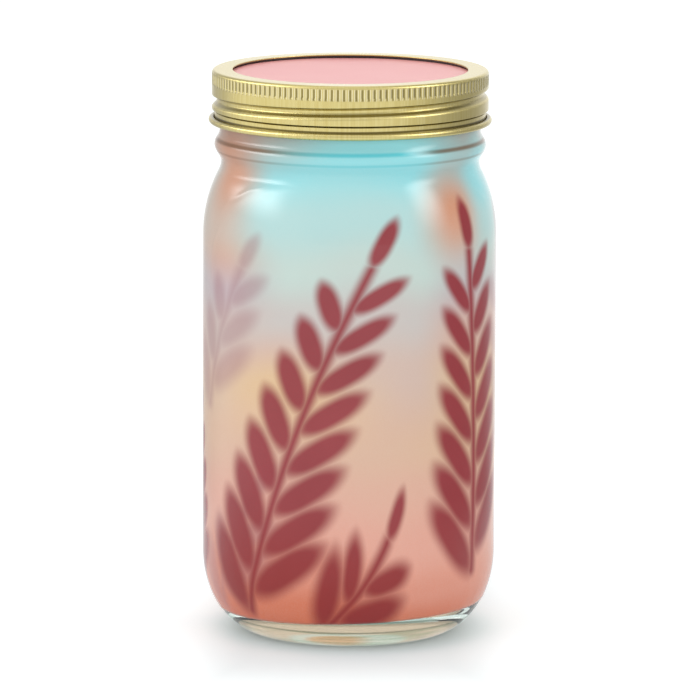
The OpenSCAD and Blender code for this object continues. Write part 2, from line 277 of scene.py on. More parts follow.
def make_piece(name: str, points: np.ndarray, faces: np.ndarray, slots: np.ndarray | None = None) -> Piece:
    """Makes a smooth mesh object, joins doubled points and turns its faces outwards.

    Args:
        name: The object's name.
        points: Rows of x, y and z in millimetres.
        faces: Point numbers of each face.
        slots: Material slot of each face.

    Returns:
        The new object.
    """
    mesh = bpy.data.meshes.new(name)
    mesh.from_pydata((points * MM).tolist(), [], faces.tolist())
    if slots is not None:
        mesh.polygons.foreach_set("material_index", slots.astype(np.int32))
    shape = bmesh.new()
    shape.from_mesh(mesh)
    bmesh.ops.remove_doubles(shape, verts=shape.verts, dist=0.002 * MM)
    bmesh.ops.recalc_face_normals(shape, faces=shape.faces)
    shape.to_mesh(mesh)
    shape.free()
    mesh.shade_smooth()
    piece = bpy.data.objects.new(name, mesh)
    bpy.context.scene.collection.objects.link(piece)
    return piece


def hang(piece: Piece, node: str, body: str, finish: Material | None = None) -> Piece:
    """Puts a finished piece in a CAD node's place.

    Args:
        piece: The piece, where it belongs.
        node: CAD node that it stands for.
        body: Body that it moves with.
        finish: Its only material, if it has none yet.

    Returns:
        The piece.
    """
    if finish:
        dress(piece, finish)
    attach(piece, body)
    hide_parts(node)
    log.info("%s: %d faces on %s", piece.name, len(piece.data.polygons), body)
    return piece


def woven(grid: np.ndarray, round_rows: bool = True, round_columns: bool = False) -> Mesh:
    """Joins a grid of points with four-sided faces.

    Args:
        grid: Points by column, row and coordinate.
        round_rows: Whether the last column joins the first.
        round_columns: Whether the last row joins the first.

    Returns:
        Points as rows, and faces as rows of four point numbers.
    """
    columns, rows = grid.shape[:2]
    i = np.arange(columns if round_rows else columns - 1)[:, None]
    j = np.arange(rows if round_columns else rows - 1)[None, :]
    nxt, up = (i + 1) % columns, (j + 1) % rows
    faces = np.stack([i * rows + j, nxt * rows + j, nxt * rows + up, i * rows + up], -1)
    return grid.reshape(-1, 3), faces.reshape(-1, 4)


def skin(over: np.ndarray, under: np.ndarray) -> Mesh:
    """Joins two grids of one size, one over the other, into a closed shell.

    Args:
        over: Upper points by column, row and coordinate.
        under: Lower points.

    Returns:
        Points and four-sided faces.
    """
    columns, rows = over.shape[:2]
    first, faces = woven(over, round_rows=False)
    second, flipped = woven(under, round_rows=False)
    count = len(first)
    edge = [i * rows for i in range(columns)] + [(columns - 1) * rows + j for j in range(1, rows)]
    edge += [i * rows + rows - 1 for i in range(columns - 2, -1, -1)] + list(range(rows - 2, 0, -1))
    rim = [[a, b, b + count, a + count] for a, b in zip(edge, edge[1:] + edge[:1])]
    return np.vstack([first, second]), np.vstack([faces, flipped + count, rim])


def shell(flat: np.ndarray, high: object, low: object) -> Mesh:
    """Closed shell between two heights over one flat outline.

    Args:
        flat: Points of the outline's grid, by column, row and coordinate.
        high: Upper height, one or by column and row.
        low: Lower height.

    Returns:
        Points and four-sided faces.
    """
    x, y, z = (flat[..., i] for i in range(3))
    return skin(*(np.stack([x, y, height + 0 * z], -1) for height in (high, low)))


def tube(line: np.ndarray, radius: float, sides: int = 4) -> Mesh:
    """Thin tube round a nearly level line, tapered at its ends.

    Args:
        line: Points of the line, in millimetres.
        radius: The tube's radius.
        sides: Number of its sides.

    Returns:
        Points and four-sided faces.
    """
    upright = np.array((0, 0, 1.0))
    across = np.cross(np.gradient(line, axis=0), upright)
    across /= np.linalg.norm(across, axis=1)[:, None]
    turn = np.arange(sides) * 2 * math.pi / sides
    taper = radius * np.clip(np.sin(np.linspace(0.12, math.pi - 0.12, len(line))) * 2, 0, 1)
    spokes = np.cos(turn)[:, None, None] * across + np.sin(turn)[:, None, None] * upright
    points, faces = woven(line + taper[:, None] * spokes)
    ends = [[i * len(line) + at for i in range(sides)] for at in (0, len(line) - 1)]
    return points, np.vstack([faces, ends])


def angles(count: int) -> np.ndarray:
    """Even angles once round, in radians."""
    return np.linspace(0, 2 * math.pi, count, endpoint=False)


def turned(radius: np.ndarray, height: np.ndarray, angle: np.ndarray) -> np.ndarray:
    """Places profile points round the Z axis.

    Args:
        radius: Radii by column and row, or of one profile, in millimetres.
        height: Heights in the same order.
        angle: Angle of each column in radians.

    Returns:
        Points by column, row and coordinate.
    """
    turn = angle[:, None]
    return np.stack([radius * np.cos(turn), radius * np.sin(turn), height + 0 * turn], -1)


def sheet_grid(columns: int, rows: int, start: float = -1.0) -> tuple[np.ndarray, np.ndarray]:
    """Shares of a flat sheet's two half lengths, by column and row, the first one from start to 1."""
    x = np.linspace(start, 1, columns)[:, None] + np.zeros(rows)
    return x, np.zeros(columns)[:, None] + np.linspace(-1, 1, rows)


def arc(r: float, z: float, radius: float, start: float, end: float, steps: int) -> list[Point]:
    """Points of an arc round (r, z).

    Args:
        r: Centre's distance from the axis.
        z: Centre's height.
        radius: The arc's radius.
        start: First angle in degrees.
        end: Last angle in degrees.
        steps: Number of steps.

    Returns:
        The points.
    """
    turns = np.radians(np.linspace(start, end, steps + 1))
    return [(r + radius * math.cos(a), z + radius * math.sin(a)) for a in turns]


def pulled(points: Sequence[Point], steps: int) -> list[Point]:
    """Points of a cubic curve, given its two ends and the two points that pull it."""
    t = np.linspace(0, 1, steps + 1)[:, None]
    a, b, c, d = (np.array(p) for p in points)
    curve = (1 - t) ** 3 * a + 3 * (1 - t) ** 2 * t * b + 3 * (1 - t) * t ** 2 * c + t ** 3 * d
    return [tuple(p) for p in curve]


def flank(start: Point, end: Point, steps: int) -> list[Point]:
    """Points of a smooth flank that is level with the wall at both ends."""
    out, up = end[0] - start[0], end[1] - start[1]
    shares = np.linspace(0, 1, steps + 1)[1:]
    return [(start[0] + out * (1 - math.cos(math.pi * t)) / 2, start[1] + up * t) for t in shares]


def eased(value: np.ndarray, low: float, high: float) -> np.ndarray:
    """Smooth step of numbers, from 0 at low to 1 at high."""
    share = np.clip((value - low) / (high - low), 0, 1)
    return share * share * (3 - 2 * share)


def ripples(points: np.ndarray, length: float, seed: int, count: int = 24) -> np.ndarray:
    """Random smooth relief, made of plane waves.

    Args:
        points: Points in the last dimension, in millimetres.
        length: Typical wavelength in millimetres.
        seed: Seed of the random waves.
        count: Number of waves.

    Returns:
        Heights, with a mean square of about 1.
    """
    random = np.random.default_rng(seed)
    total = np.zeros(points.shape[:-1])
    for _ in range(count):
        way = random.normal(size=3)
        way *= 2 * math.pi / (length * random.uniform(0.6, 1.8) * np.linalg.norm(way))
        total += np.sin(points @ way + random.uniform(0, 2 * math.pi))
    return total * math.sqrt(2 / count)


def lumps(points: np.ndarray, length: float, seed: int, count: int = 24) -> np.ndarray:
    """Random smooth relief, cut off at -1 and 1."""
    return np.clip(ripples(points, length, seed, count), -1, 1)


# Sizes that more than one piece shares, in millimetres ----------------------------------------------------------


@dataclass(frozen=True)
class Closure:
    """Heights and the thread that the jar, the pot, the disc and the band share."""

    rim: float = 178.3
    flange: float = 0.5
    seal: float = 1.1
    disc: float = 0.3
    band: float = 0.4
    lead: float = 5.08
    groove_front: float = 8.45

    @property
    def top(self) -> float:
        """Height of the band's top."""
        return self.rim + self.flange + self.seal + self.disc + self.band


CLOSURE = Closure()


@dataclass(frozen=True)
class Ridge:
    """A ridge that follows the closure's thread round the axis, as a height from 0 to 1.

    start and end are unwound angles, in turns from the front, and fade is the length over which it rises there,
    in turns. flanks says where it starts to rise, is full, starts to fall and ends, in millimetres down from the
    thread's line.
    """

    start: float
    end: float
    fade: float
    flanks: tuple[float, float, float, float]

    def height(self, angle: np.ndarray, depth: np.ndarray) -> np.ndarray:
        """Works the ridge out.

        Args:
            angle: Angle round the axis of each column, 0 at +X.
            depth: Depth under the band's top, by column and row.

        Returns:
            The ridge by column and row.
        """
        foot, full, fall, tail = self.flanks
        front = (angle + math.pi / 2) % (2 * math.pi)
        ridge = np.zeros_like(depth)
        for whole in range(-3, 3):
            turn = front + 2 * math.pi * whole
            share = turn / (2 * math.pi)
            ends = np.clip((share - self.start) / self.fade, 0, 1) * np.clip((self.end - share) / self.fade, 0, 1)
            ends = ends * ends * (3 - 2 * ends)
            line = CLOSURE.groove_front - CLOSURE.lead * turn / (2 * math.pi)
            off = depth - line[:, None]
            ridge = np.maximum(ridge, ends[:, None] * eased(off, foot, full) * eased(off, tail, fall))
        return ridge


# Finishes ------------------------------------------------------------------------------------------------------


@dataclass(frozen=True)
class Sprig:
    """One soft sprig of oval leaves on a stem, in millimetres and degrees."""

    across: float
    height: float
    heading: float
    length: float
    leaf: float
    wide: float
    pitch: float
    spread: float
    bend: float
    blur: float = 1.5
    taper: float = 0.45
    stem: float = 1.1
    gap: float = 1.0

    def mask(self, u: Value, v: Value, girth: float) -> Value:
        """Draws the sprig.

        Args:
            u: Length round the jar.
            v: Height.
            girth: Length once round the jar.

        Returns:
            1 inside the sprig, 0 outside it.
        """
        across, up = (u - self.across).wrapped(girth / 2), v - self.height
        cos, sin = math.cos(math.radians(self.heading)), math.sin(math.radians(self.heading))
        s = across * sin + up * cos
        t = across * cos - up * sin - (s / self.length).most(0.0) ** 2.0 * self.bend
        side = abs(t)
        # Leaves on the right sit half a pitch further up than those on the left
        late = s - t.do("GREATER_THAN", 0.0) * (self.pitch / 2)
        count = int(self.length / self.pitch)
        stem = side.ease(self.stem + self.blur, self.stem - self.blur / 2)
        stem = stem * s.ease(-2.0, 2.0) * s.ease(self.length + 4, self.length)
        shape = self.leaf_mask(s - self.length, t, 1 - self.taper, 0.0).most(stem)
        # A point can lie in the leaf of its own pitch or of the one before or after
        for before in (-1, 0, 1):
            cell = (late / self.pitch).do("FLOOR") - float(before)
            there = cell.do("GREATER_THAN", -0.5) * cell.do("LESS_THAN", count - 0.5)
            size = cell.do("MULTIPLY_ADD", -self.taper / count, 1.0)
            leaf = self.leaf_mask(late - cell * self.pitch, side, size, self.spread)
            shape = shape.most(leaf * there)
        return shape

    def leaf_mask(self, s: Value, t: Value, size: object, spread: float) -> Value:
        """Draws one oval leaf that grows from the stem.

        Args:
            s: Way along the stem from the leaf's foot.
            t: Way across the stem.
            size: Scale of the leaf.
            spread: Angle between leaf and stem.

        Returns:
            1 inside the leaf, 0 outside it.
        """
        cos, sin = math.cos(math.radians(spread)), math.sin(math.radians(spread))
        x = ((s * cos + t * sin) / size - (self.leaf / 2 + self.gap)) / (self.leaf / 2)
        y = (t * cos - s * sin) / size / (self.wide / 2)
        # Fuller than an ellipse along the leaf and more pointed across it
        far = (abs(y) ** 1.6 + abs(x) ** 2.6) ** 0.625
        soft = 2 * self.blur / self.wide
        return far.ease(1 + soft, 1 - soft)


@dataclass(frozen=True)
class Glow:
    """A soft patch in which the film's ground turns warm or cool, in millimetres."""

    across: float
    height: float
    half_across: float
    half_height: float
    warm: float

    def lay(self, u: Value, v: Value, girth: float, warmth: Value) -> Value:
        """Lays the patch over the warmth so far and returns the new warmth."""
        x = (u - self.across).wrapped(girth / 2) / self.half_across
        y = (v - self.height) / self.half_height
        return warmth + (x * x + y * y).root().ease(1.25, 0.1) * (self.warm - warmth)


@dataclass(frozen=True)
class PrintedFilm:
    """Reverse-printed glossy film: the inks lie under a clear face, so soft colour shows under sharp reflections.

    The inks of the ground are stops up the jar, in millimetres. Each fold is a line of painted shade at a height,
    with half its width and its strength.
    """

    radius: float = 46.7
    ramp_top: float = 180.0
    warm_inks: tuple[tuple[float, str], ...] = (
        (4, "DA6238"), (15, "E37C5A"), (26, "EC9A82"), (38, "F2AE9A"), (52, "EEBAA2"), (66, "F0C6A0"),
        (82, "F0C89A"), (100, "E6B9A6"), (118, "CFB1B8"), (134, "E3A88C"), (148, "E0966F"), (160, "CB7645"))
    cool_inks: tuple[tuple[float, str], ...] = (
        (4, "DE6D46"), (18, "E78E71"), (42, "EEB29F"), (66, "E8BEA4"), (88, "E0C2B4"), (106, "D6CDC8"),
        (122, "D0E2DA"), (138, "BEE4E2"), (152, "9CE8EE"), (166, "A2F8FF"))
    grain: str = "F4EFE9"
    faint_ink: str = "A96F78"
    deep_ink: str = "93222D"
    light_ink: str = "A4333D"
    foot_ink: str = "960F0A"
    # Browner colour of the painted fold shade towards the sides
    fold_shade_side: str = "86603F"
    passes: str = "CFC8C0"
    drift: float = 34.0
    faint_share: float = 0.45
    share: float = 0.98
    folds: tuple[Spot, ...] = ((158.7, 1.0, 0.95), (155.2, 0.7, 0.45))
    glows: tuple[Glow, ...] = (
        Glow(-22, 82, 34, 20, 1.0), Glow(-48, 118, 24, 22, 0.9), Glow(2, 108, 18, 30, 0.1),
        Glow(6, 146, 26, 16, 0.0), Glow(38, 138, 16, 19, 1.0), Glow(40, 100, 16, 30, 0.85),
        Glow(-50, 150, 18, 22, 0.9), Glow(44, 68, 16, 14, 0.8), Glow(58, 140, 12, 26, 0.0),
        Glow(8, 160, 24, 8, 0.0), Glow(88, 120, 26, 34, 0.1), Glow(130, 90, 30, 26, 0.9),
        Glow(-110, 130, 34, 30, 0.1), Glow(-84, 92, 22, 30, 0.8))
    sprigs: tuple[Sprig, ...] = (
        Sprig(-36, 10, 14, 120, 31, 11, 14, 40, 14, 2.6), Sprig(46, 22, 3, 104, 30, 10.5, 14, 38, -8, 2.6),
        Sprig(-10, 6, 52, 36, 26, 9.5, 13, 34, -10, 2.8), Sprig(112, 12, 10, 124, 32, 13, 14, 40, -14),
        Sprig(-122, 16, -14, 110, 31, 12, 14, 40, 12), Sprig(-78, 6, 6, 72, 27, 11, 13, 36, -8, 1.9))
    faint_sprigs: tuple[Sprig, ...] = (
        Sprig(-58, 74, 16, 50, 24, 10, 15, 36, 6, 3.4), Sprig(-52, 10, 18, 42, 24, 10, 15, 36, 6, 3.4),
        Sprig(76, 60, -14, 66, 24, 10, 15, 36, 8, 3.4), Sprig(150, 60, 10, 66, 24, 10, 15, 36, -8, 3.4))

    def build(self) -> Material:
        """Makes the material and returns it."""
        film = Surface("reverse_printed_film")
        u, v = film.place_round(self.radius)
        girth = 2 * math.pi * self.radius
        # The ground's stops drift up and down by some 10 mm, and patches of 90 mm are warmer or cooler
        shifted = v + (film.noise(16.0) - 0.5) * self.drift
        warmth = film.noise(11.0, 0.0).ease(0.36, 0.64)
        for glow in self.glows:
            warmth = glow.lay(u, v, girth, warmth)
        colour = warmth.mix(self.ramp(film, shifted, self.cool_inks), self.ramp(film, shifted, self.warm_inks))
        # Print grain of about 0.4 mm
        colour = film.noise(2400.0).ease(0.3, 0.7, 0.0, 0.04).mix(colour, self.grain)
        colour = (self.drawn(u, v, girth, self.faint_sprigs) * self.faint_share).mix(colour, self.faint_ink)
        # The sprigs' ink is mottled over about 18 mm and redder towards the foot
        ink = film.noise(55.0, 3.0).mix(self.deep_ink, self.light_ink)
        ink = (v.ease(60.0, 14.0) * 0.8).mix(ink, self.foot_ink)
        colour = (self.drawn(u, v, girth, self.sprigs) * self.share).mix(colour, ink)
        # The drawn film ripples a little over about 20 mm and has fine creases where it gathers at the shoulder
        crease = film.noise(26.0, 2.0, kind="RIDGED_MULTIFRACTAL")
        gathered = v.ease(128.0, 142.0) * v.ease(158.0, 150.0)
        level = film.noise(45.0) * 0.25 + crease * gathered * 0.12
        # The film bends sharply over the bead, where painted shade draws darker lines along its folds, browner
        # towards the sides
        for height, half, dark in self.folds:
            near = abs(v - height).ease(half, 0.15 * half)
            deep = film.add("Gamma", Color=colour, Gamma=2.1)
            deep = abs(u).ease(18.0, 36.0, 0.0, 0.8).mix(deep, self.fold_shade_side)
            colour = (near * dark).mix(colour, deep)
        # The inks lie under the film's face, so only that face is glossy
        shader = film.add("BsdfPrincipled", Base_Color=colour, Roughness=0.6, IOR=1.49, Specular_IOR_Level=0.0,
                          Normal=film.bump(0.35, 0.4, level), Coat_Weight=1.0, Coat_Roughness=0.07, Coat_IOR=1.5)
        return film.finish(shader, self.passes)

    def ramp(self, film: Surface, height: Value, inks: Sequence[tuple[float, str]]) -> Node:
        """Colour ramp up the jar.

        Args:
            film: Material that gets it.
            height: Height in millimetres.
            inks: Height and ink of each stop.

        Returns:
            The ramp's node.
        """
        node = film.add("ValToRGB", Fac=height / self.ramp_top)
        stops = node.color_ramp.elements
        node.color_ramp.interpolation = "EASE"
        while len(stops) < len(inks):
            stops.new(0.5)
        for stop, (at, ink) in zip(stops, inks):
            stop.position = at / self.ramp_top
            stop.color = linear(ink)
        return node

    def drawn(self, u: Value, v: Value, girth: float, sprigs: Sequence[Sprig]) -> Value:
        """Draws several sprigs and returns their common mask."""
        whole, *others = (sprig.mask(u, v, girth) for sprig in sprigs)
        for shape in others:
            whole = whole.most(shape)
        return whole


@dataclass(frozen=True)
class BottleGlass:
    """Pressed soda-lime glass: clear, with a green cast where it is thick and faint waves from the mould."""

    tint: str = "F1F9F4"
    passes: str = "F4FBF7"
    pale: str = "F8FCF7"
    green: str = "B3CCBA"
    # Colour of the painted shade lines at the heel and the foot
    line: str = "4A6655"
    floor: str = "EAF0E6"
    # The next two colours are painted reflections of the print in the stippled floor
    warm: str = "EED9C2"
    print_reflection: str = "EEC79F"
    heel: float = 6.0

    def build(self) -> Material:
        """Makes the clear glass, greener round the heel, and returns it."""
        glass = Surface("pressed_soda_lime_glass")
        x, y, high = glass.place()
        # The heel is seen through most glass: streaks 25 mm long and 1 mm high, between two thin dark lines of
        # painted shade
        lay = glass.add("CombineXYZ", X=x * 0.04, Y=y * 0.04, Z=high)
        heel = glass.noise(1.0, where=lay).ease(0.42, 0.62).mix(self.pale, self.green)
        colour = high.ease(self.heel + 0.4, self.heel - 0.4).mix(self.tint, heel)
        # Painted shade: one dark line round the heel and one along the foot
        line = abs(high - self.heel).ease(0.5, 0.1).most(high.ease(1.5, 0.3))
        colour = (line * 0.85).mix(colour, self.line)
        # Mould waves of about 12 mm
        bump = glass.bump(0.25, 0.25, glass.noise(80.0))
        shader = glass.add("BsdfPrincipled", Base_Color=colour, Roughness=0.0, IOR=1.52, Transmission_Weight=1.0,
                           Normal=bump)
        return glass.finish(shader, self.passes)

    def build_stippled(self) -> Material:
        """Makes the push-up's stippled glass, which scatters the light inside the floor, and returns it."""
        glass = Surface("stippled_soda_lime_glass")
        x, y, _ = glass.place()
        far = (x * x + y * y).root()
        # Painted reflection of the print: warm in the outer part, and one warmer patch in the inner part
        patch = abs(x + 5.0).ease(12.0, 5.0) * far.ease(13.0, 10.0)
        colour = patch.mix(far.ease(17.0, 14.0).mix(self.warm, self.floor), self.print_reflection)
        # Stipple of 1.2 mm
        bump = glass.bump(0.4, 0.15, glass.add("TexVoronoi", Vector=glass.spot, Scale=830.0))
        matt = glass.add("BsdfDiffuse", Color=colour, Normal=bump)
        clear = glass.add("BsdfTransparent", Color=colour)
        return glass.finish(glass.add("MixShader", i0=0.3, i1=clear, i2=matt))


@dataclass(frozen=True)
class GoldLacquer:
    """Gold lacquer on rolled tinplate: a satin metal whose upright rolling marks spread reflections sideways.

    Each row of the band's two tables of lines is a line of painted shade: its place in millimetres down from the
    band's top or from the thread's line, half its width, and its strength.
    """

    light: str = "D9CB8A"
    deep: str = "CFBE76"
    shade: str = "665922"
    # Colour of the painted highlight on the edges of the knurl's teeth
    tooth_highlight: str = "F3EBCB"
    radius: float = 44.0
    teeth: int = 144
    knurl: Point = (175.9, 179.6)
    # Lines of painted shade, from the band's top and from the thread's line
    shade_lines: tuple[Spot, ...] = ((12.8, 0.24, 0.7), (14.72, 0.5, 1.0))
    thread_shade_lines: tuple[Spot, ...] = ((-1.35, 0.26, 0.95), (0.75, 0.8, 0.5))

    def build(self) -> Material:
        """Makes the material and returns it."""
        gold = Surface("gold_lacquered_tinplate")
        u, v = gold.place_round(self.radius)
        girth = 2 * math.pi * self.radius
        # Marks 0.6 mm wide and 20 mm long, coarser than real so that they show
        lay = gold.add("CombineXYZ", X=u * 1.6, Y=v * 0.05, Z=0.0)
        streak = gold.noise(1.0, 2.0, lay, Roughness=0.5)
        colour = streak.ease(0.25, 0.75).mix(self.light, self.deep)
        # Painted shade darkens the grooves between the teeth of the knurl, and a painted pale highlight lies
        # along their edges
        off = abs((u / (girth / self.teeth) + 0.5).do("FRACT") - 0.5)
        foot, top = self.knurl
        knurled = v.ease(foot - 0.3, foot + 0.3) * v.ease(top + 0.2, top - 0.4)
        edge = abs(off - 0.31).ease(0.09, 0.03) * knurled
        colour = (edge * 0.75).mix(colour, self.tooth_highlight)
        dark = off.ease(0.22, 0.1) * knurled * 0.7
        # Painted shade lines lie in the rolled thread too, and over the hem
        depth = CLOSURE.top - v
        thread = depth - CLOSURE.groove_front + u / girth * CLOSURE.lead
        rows = [(thread, *row) for row in self.thread_shade_lines] + [(depth, *row) for row in self.shade_lines]
        for line, at, half, share in rows:
            dark = dark.most(abs(line - at).ease(half, 0.3 * half) * share)
        colour = dark.mix(colour, self.shade)
        rough = streak.ease(0.3, 0.7, 0.25, 0.28) + gold.noise(40.0).ease(0.35, 0.65, 0.0, 0.04)
        around = gold.add("Tangent", {"direction_type": "RADIAL", "axis": "Z"})
        return gold.finish(gold.add("BsdfPrincipled", Base_Color=colour, Metallic=1.0, Roughness=rough,
                                    Anisotropic=0.6, Tangent=around, Coat_Weight=0.5, Coat_Roughness=0.15))


@dataclass(frozen=True)
class CoatedCard:
    """Clay-coated pink card: flat colour with a low even sheen and a faint fibre."""

    pink: str = "F5B0AE"
    deep: str = "F2A8A8"

    def build(self) -> Material:
        """Makes the material and returns it."""
        card = Surface("clay_coated_pink_card")
        # Fibres of about 0.6 mm, coarser than real so that they show
        fibre = card.noise(1600.0, 3.0)
        share = fibre.ease(0.35, 0.65, 0.0, 0.5) + card.noise(40.0).ease(0.35, 0.65, 0.0, 0.5)
        return card.finish(card.add(
            "BsdfPrincipled", Base_Color=share.mix(self.pink, self.deep), Roughness=0.34, IOR=1.45,
            Specular_IOR_Level=0.15, Normal=card.bump(0.3, 0.02, fibre)))


@dataclass(frozen=True)
class PlainFinish:
    """A finish whose colour, gloss and relief vary by two noises: one patchy, one with a grain in millimetres."""

    name: str
    light: str
    deep: str
    rough: float
    grain: float
    relief: float
    metallic: float = 0.0
    coat: float = 0.0
    stretch: Spot = (1.0, 1.0, 1.0)
    sheen: float = 0.0
    passes: str = ""

    def build(self) -> Material:
        """Makes the material and returns it."""
        plain = Surface(self.name)
        laid = plain.add("Mapping", Vector=plain.spot, Scale=self.stretch)
        fine = plain.noise(1000.0 / self.grain, 3.0, laid)
        share = fine.ease(0.3, 0.7, 0.0, 0.6) + plain.noise(60.0, 2.0).ease(0.3, 0.7, 0.0, 0.4)
        return plain.finish(plain.add(
            "BsdfPrincipled", Base_Color=share.mix(self.light, self.deep), Metallic=self.metallic,
            Roughness=fine.ease(0.3, 0.7, -0.06, 0.06) + self.rough, Normal=plain.bump(0.5, self.relief, fine),
            Coat_Weight=self.coat, Coat_Roughness=0.15, Sheen_Weight=self.sheen), self.passes)


class Finish(Enum):
    """The plain finishes of the inner pieces."""

    # Black lacquer on the lid disc is painted shade: it darkens the gap under the band's opening
    SHADE_BLACK_LACQUER = PlainFinish("black_tinplate_for_painted_shade", "1B1A19", "2A2724", 0.3, 6.0, 0.02, coat=0.4)
    PLASTISOL = PlainFinish("grey_plastisol", "C9C4BA", "B5AFA5", 0.45, 2.0, 0.03)
    STAINLESS = PlainFinish("satin_stainless_sheet", "B5B4B1", "979694", 0.3, 1.2, 0.02, 1.0, stretch=(1, 1, 14))
    WHITE_INK = PlainFinish("white_backing_ink", "EBDCC8", "E2D0BA", 0.5, 3.0, 0.01, passes="F8F4EE")
    FELT = PlainFinish("needled_felt", "EFECE4", "D6D1C5", 0.95, 0.9, 0.25, sheen=0.5)
    COIR = PlainFinish("pressed_coir", "7A5535", "3A2415", 0.95, 1.1, 0.6)
    COIR_FIBRE = PlainFinish("coir_fibre", "9A6E45", "5B3A20", 0.8, 2.0, 0.05)
    TEA_PAPER = PlainFinish("carbon_filled_filter_paper", "A8A49D", "4F4C49", 0.9, 1.3, 0.15)
    SACHET_FILM = PlainFinish("white_sachet_film", "F1F0ED", "E2E1DD", 0.32, 5.0, 0.1, coat=0.3)
    KRAFT = PlainFinish("brown_kraft_paper", "BE9A6B", "A5814F", 0.85, 1.0, 0.05)
    CREAM_PAPER = PlainFinish("uncoated_cream_paper", "F3EEDF", "E8E1CF", 0.85, 0.8, 0.03)

    def build(self) -> Material:
        """Makes the material and returns it."""
        return self.value.build()


# Jar -----------------------------------------------------------------------------------------------------------


@dataclass(frozen=True)
class GlassJar:
    """Wide-mouth jar: ringed foot, heel, straight body, shoulder, bead and threaded finish, in millimetres."""

    body_r: float = 46.6
    wall: float = 2.8
    heel_h: float = 25.6
    heel_pull: float = 0.543
    foot_r: float = 31.7
    foot_in_r: float = 29.6
    foot_reach: float = 0.3
    foot_tilt: float = 15.0
    push_up: float = 3.2
    floor: float = 7.4
    shoulder_h: float = 23.1
    waist_r: float = 40.95
    waist_z: float = 151.4
    waist_curve: float = 6.5
    bead_r: float = 43.1
    bead_z: float = 156.8
    finish_r: float = 41.4
    finish_z: float = 161.2
    mouth_r: float = 38.0
    lip_r: float = 1.2
    thread: float = 0.9
    thread_ridge: Ridge = Ridge(-1.0, 0.38, 0.1, (-1.4, -0.1, 0.1, 1.4))
    thread_above: float = 2.0
    columns: int = 288
    stippled: int = 11

    def shoulder(self, depth: float) -> list[Point]:
        """Shoulder's two arcs, at a depth inside the glass."""
        turn = 2 * math.atan2(self.body_r - self.waist_r, self.shoulder_h)
        curve = self.shoulder_h / math.sin(turn) - self.waist_curve
        low = self.waist_z - self.shoulder_h
        turn = math.degrees(turn)
        first = arc(self.body_r - depth - curve, low, curve, 0, turn, 28)
        last = arc(self.waist_r - depth + self.waist_curve, self.waist_z, self.waist_curve, 180, 180 + turn, 14)
        return first + last[::-1]

    def outside(self) -> list[Point]:
        """Outside of the glass, from the bearing ring to the finish, without the lip."""
        reach, tilt = self.foot_reach * self.foot_r, math.radians(self.foot_tilt)
        tip = (self.foot_r + reach * math.cos(tilt), reach * math.sin(tilt))
        pull = (self.body_r, self.heel_pull * self.heel_h)
        heel = pulled([(self.foot_r, 0), tip, pull, (self.body_r, self.heel_h)], 44)
        up = [(self.body_r, z) for z in np.arange(self.heel_h + 3, self.waist_z - self.shoulder_h - 1, 3.0)]
        bead = flank((self.waist_r, self.waist_z), (self.bead_r, self.bead_z), 14)
        neck = flank((self.bead_r, self.bead_z), (self.finish_r, self.finish_z), 12)
        return heel + up + self.shoulder(0.0) + bead + neck

    def mouth(self) -> list[Point]:
        """Finish, lip and bore, from the neck's end to the bead's height inside."""
        low = CLOSURE.rim - self.lip_r
        finish = [(self.finish_r, z) for z in np.arange(self.finish_z + 0.3, low - 0.1, 0.3)]
        lip = arc(self.finish_r - self.lip_r, low, self.lip_r, 0, 90, 8)
        lip += arc(self.mouth_r + self.lip_r, low, self.lip_r, 90, 180, 8)
        return finish + lip + [(self.mouth_r, z) for z in np.linspace(low - 1, self.bead_z, 10)]

    def inside(self) -> list[Point]:
        """Inside of the glass, from under the bore to the middle of the floor."""
        in_r = self.body_r - self.wall
        within = [p for p in self.shoulder(self.wall) if p[0] > self.mouth_r][::-1]
        deep = [(in_r, z) for z in np.arange(self.waist_z - self.shoulder_h - 3, self.heel_h + 1, -3.0)]
        pull = (in_r, self.heel_pull * self.heel_h)
        cup = pulled([(in_r, self.heel_h), pull, (0.82 * in_r, self.floor), (in_r / 2, self.floor)], 30)
        return within + deep + cup + [(10, self.floor), (0, self.floor)]

    def build(self) -> None:
        """Makes the jar."""
        push_up = [(18, self.push_up - 0.05), (26.5, self.push_up - 0.2), (28.0, 0), (self.foot_in_r, 0)]
        under = [(0, self.push_up), (9, self.push_up)] + pulled(push_up, 14)
        outer = under + self.outside() + self.mouth()
        path = np.array(outer + self.inside())
        angle = angles(self.columns)
        radius, height = (np.tile(line, (self.columns, 1)) for line in path.T)
        # The thread is on the finish only
        ridge = self.thread_ridge.height(angle, CLOSURE.top - height + self.thread_above)
        radius += self.thread * ridge * (np.abs(radius - self.finish_r) < 0.01)
        # Blown glass is a little uneven inside: about 0.1 mm over 30 mm
        first = len(outer)
        fade = eased(radius[:, first:], 4, 30) * eased(height[:, first:], 158, 140)
        radius[:, first:] += 0.08 * ripples(turned(radius, height, angle)[:, first:], 32, 5) * fade
        points, faces = woven(turned(radius, height, angle))
        rows = np.tile(np.arange(len(path) - 1), self.columns)
        piece = make_piece("pressed_jar", points, faces, rows < self.stippled)
        piece.data.materials.append(BottleGlass().build())
        piece.data.materials.append(BottleGlass().build_stippled())
        hang(piece, "glass_jar", "jar")


@dataclass(frozen=True)
class Crease:
    """A fine standing crease in the film, from one place to another, in millimetres round and up the jar."""

    start: Point
    end: Point
    bow: float
    width: float = 0.8
    lift: float = 0.16

    def relief(self, u: np.ndarray, v: np.ndarray) -> np.ndarray:
        """Height of the crease at each point."""
        way = np.subtract(self.end, self.start)
        length = float(np.hypot(*way))
        way = way / length
        s = ((u - self.start[0]) * way[0] + (v - self.start[1]) * way[1]) / length
        off = (v - self.start[1]) * way[0] - (u - self.start[0]) * way[1] - self.bow * 4 * s * (1 - s)
        ends = np.clip(4 * s * (1 - s), 0, 1) * (s > 0) * (s < 1)
        return self.lift * ends * np.exp(-((off / self.width) ** 2))


